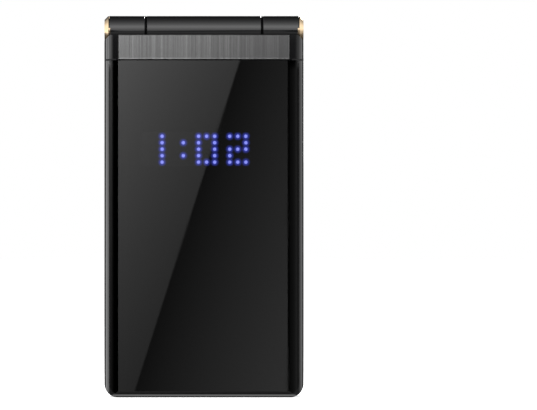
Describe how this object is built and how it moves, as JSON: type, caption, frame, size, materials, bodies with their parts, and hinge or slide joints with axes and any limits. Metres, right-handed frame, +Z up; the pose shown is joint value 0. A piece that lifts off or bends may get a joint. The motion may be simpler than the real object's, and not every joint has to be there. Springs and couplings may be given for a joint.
{
  "type": "flip phone",
  "caption": "Clamshell mobile phone with a dark glass lid, dot clock, sprung cam hinge, keypad and sliding rear cover.",
  "frame": {"origin": "middle of the closed phone's lower end, on the plane it stands on", "axes": "+Z up to the hinge, -Y the lid's outer face, +X to the right seen from the lid"},
  "size_m": [0.057, 0.02, 0.1092],
  "materials": {
    "gloss_black": "high-gloss black moulded plastic",
    "matte_black": "fine-grained soft-touch dark plastic",
    "dark_glass": "back-printed black glass",
    "brushed_metal": "fine vertical brushing",
    "gold_metal": "polished pale gold plating",
    "ring_gold": "satin pale gold plating",
    "blue_lamp": "lit blue lamp",
    "circuit_board": "solder mask",
    "display_metal": "pressed sheet",
    "inner_metal": "plain steel",
    "screw_steel": "blackened steel",
    "soft_rubber": "matt silicone",
    "flex_film": "polyimide film",
    "inner_plastic": "plain moulded plastic",
    "lamp_lens": "clear yellowish diffuser",
    "battery_wrap": "printed film wrap",
    "contact_gold": "gold-plated springs",
    "key_black": "gloss key cap",
    "key_green": "gloss key cap, green handset mark",
    "key_red": "gloss key cap, red handset mark"
  },
  "bodies": {
    "base": {"base_front_shell": "gloss_black", "base_rear_shell": "gloss_black", "rear_panel": "matte_black", "end_caps": "gold_metal", "hinge_cam": "inner_metal", "hinge_bush": "inner_metal", "flex_tail": "flex_film", "keypad_mat": "soft_rubber", "dome_sheet": "display_metal", "main_board": "circuit_board", "shield_cans": "display_metal", "antenna": "flex_film", "speaker": "inner_plastic", "speaker_mesh": "gold_metal", "camera_frame": "gold_metal", "camera_glass": "dark_glass", "camera_module": "inner_plastic", "flash_lamp": "lamp_lens", "battery": "battery_wrap", "battery_contacts": "contact_gold", "card_holders": "display_metal", "usb_socket": "display_metal", "audio_jack": "inner_plastic", "vibration_motor": "inner_metal", "base_screws": "screw_steel"},
    "lid": {"lid_outer_shell": "gloss_black", "lid_inner_shell": "gloss_black", "outer_glass": "dark_glass", "brushed_strip": "brushed_metal", "clock_board": "circuit_board", "clock_lamps": "blue_lamp", "display_module": "display_metal", "display_glass": "dark_glass", "earpiece": "inner_metal", "lid_magnet": "inner_metal", "lid_screws": "screw_steel", "lid_bumpers": "soft_rubber", "hinge_can": "inner_metal", "hinge_follower": "inner_metal", "hinge_spring": "screw_steel", "lid_flex": "flex_film"},
    "battery_cover": {"battery_cover": "matte_black"},
    "nav_ring": {"nav_ring": "ring_gold"},
    "ok_key": {"ok_key": "key_black"},
    "soft_key_left": {"soft_key_left": "key_black"},
    "soft_key_right": {"soft_key_right": "key_black"},
    "call_key": {"call_key": "key_green"},
    "end_key": {"end_key": "key_red"},
    "key_1": {"key_1": "key_black"},
    "key_2": {"key_2": "key_black"},
    "key_3": {"key_3": "key_black"},
    "key_4": {"key_4": "key_black"},
    "key_5": {"key_5": "key_black"},
    "key_6": {"key_6": "key_black"},
    "key_7": {"key_7": "key_black"},
    "key_8": {"key_8": "key_black"},
    "key_9": {"key_9": "key_black"},
    "key_star": {"key_star": "key_black"},
    "key_0": {"key_0": "key_black"},
    "key_hash": {"key_hash": "key_black"}
  },
  "joints": [
    {"name": "lid_hinge", "type": "hinge", "parent": "base", "child": "lid", "pos_m": [0, -0.00215, 0.105], "axis": [-1, 0, 0], "range_deg": [0, 160]},
    {"name": "battery_cover_slide", "type": "slide", "parent": "base", "child": "battery_cover", "axis": [0, 0, -1], "range_m": [0, 0.008]},
    {"name": "nav_ring_tilt", "type": "hinge", "parent": "base", "child": "nav_ring", "pos_m": [0, -0.0004, 0.074], "axis": [1, 0, 0], "range_deg": [-1.6, 1.6], "stiffness_Nm_per_rad": 0.4},
    {"name": "ok_key_press", "type": "slide", "parent": "base", "child": "ok_key", "axis": [0, 1, 0], "range_m": [0, 0.0003], "stiffness_N_per_m": 4000},
    {"name": "soft_key_left_press", "type": "slide", "parent": "base", "child": "soft_key_left", "axis": [0, 1, 0], "range_m": [0, 0.0003], "stiffness_N_per_m": 4000},
    {"name": "soft_key_right_press", "type": "slide", "parent": "base", "child": "soft_key_right", "axis": [0, 1, 0], "range_m": [0, 0.0003], "stiffness_N_per_m": 4000},
    {"name": "call_key_press", "type": "slide", "parent": "base", "child": "call_key", "axis": [0, 1, 0], "range_m": [0, 0.0003], "stiffness_N_per_m": 4000},
    {"name": "end_key_press", "type": "slide", "parent": "base", "child": "end_key", "axis": [0, 1, 0], "range_m": [0, 0.0003], "stiffness_N_per_m": 4000},
    {"name": "key_1_press", "type": "slide", "parent": "base", "child": "key_1", "axis": [0, 1, 0], "range_m": [0, 0.0003], "stiffness_N_per_m": 4000},
    {"name": "key_2_press", "type": "slide", "parent": "base", "child": "key_2", "axis": [0, 1, 0], "range_m": [0, 0.0003], "stiffness_N_per_m": 4000},
    {"name": "key_3_press", "type": "slide", "parent": "base", "child": "key_3", "axis": [0, 1, 0], "range_m": [0, 0.0003], "stiffness_N_per_m": 4000},
    {"name": "key_4_press", "type": "slide", "parent": "base", "child": "key_4", "axis": [0, 1, 0], "range_m": [0, 0.0003], "stiffness_N_per_m": 4000},
    {"name": "key_5_press", "type": "slide", "parent": "base", "child": "key_5", "axis": [0, 1, 0], "range_m": [0, 0.0003], "stiffness_N_per_m": 4000},
    {"name": "key_6_press", "type": "slide", "parent": "base", "child": "key_6", "axis": [0, 1, 0], "range_m": [0, 0.0003], "stiffness_N_per_m": 4000},
    {"name": "key_7_press", "type": "slide", "parent": "base", "child": "key_7", "axis": [0, 1, 0], "range_m": [0, 0.0003], "stiffness_N_per_m": 4000},
    {"name": "key_8_press", "type": "slide", "parent": "base", "child": "key_8", "axis": [0, 1, 0], "range_m": [0, 0.0003], "stiffness_N_per_m": 4000},
    {"name": "key_9_press", "type": "slide", "parent": "base", "child": "key_9", "axis": [0, 1, 0], "range_m": [0, 0.0003], "stiffness_N_per_m": 4000},
    {"name": "key_star_press", "type": "slide", "parent": "base", "child": "key_star", "axis": [0, 1, 0], "range_m": [0, 0.0003], "stiffness_N_per_m": 4000},
    {"name": "key_0_press", "type": "slide", "parent": "base", "child": "key_0", "axis": [0, 1, 0], "range_m": [0, 0.0003], "stiffness_N_per_m": 4000},
    {"name": "key_hash_press", "type": "slide", "parent": "base", "child": "key_hash", "axis": [0, 1, 0], "range_m": [0, 0.0003], "stiffness_N_per_m": 4000}
  ]
}
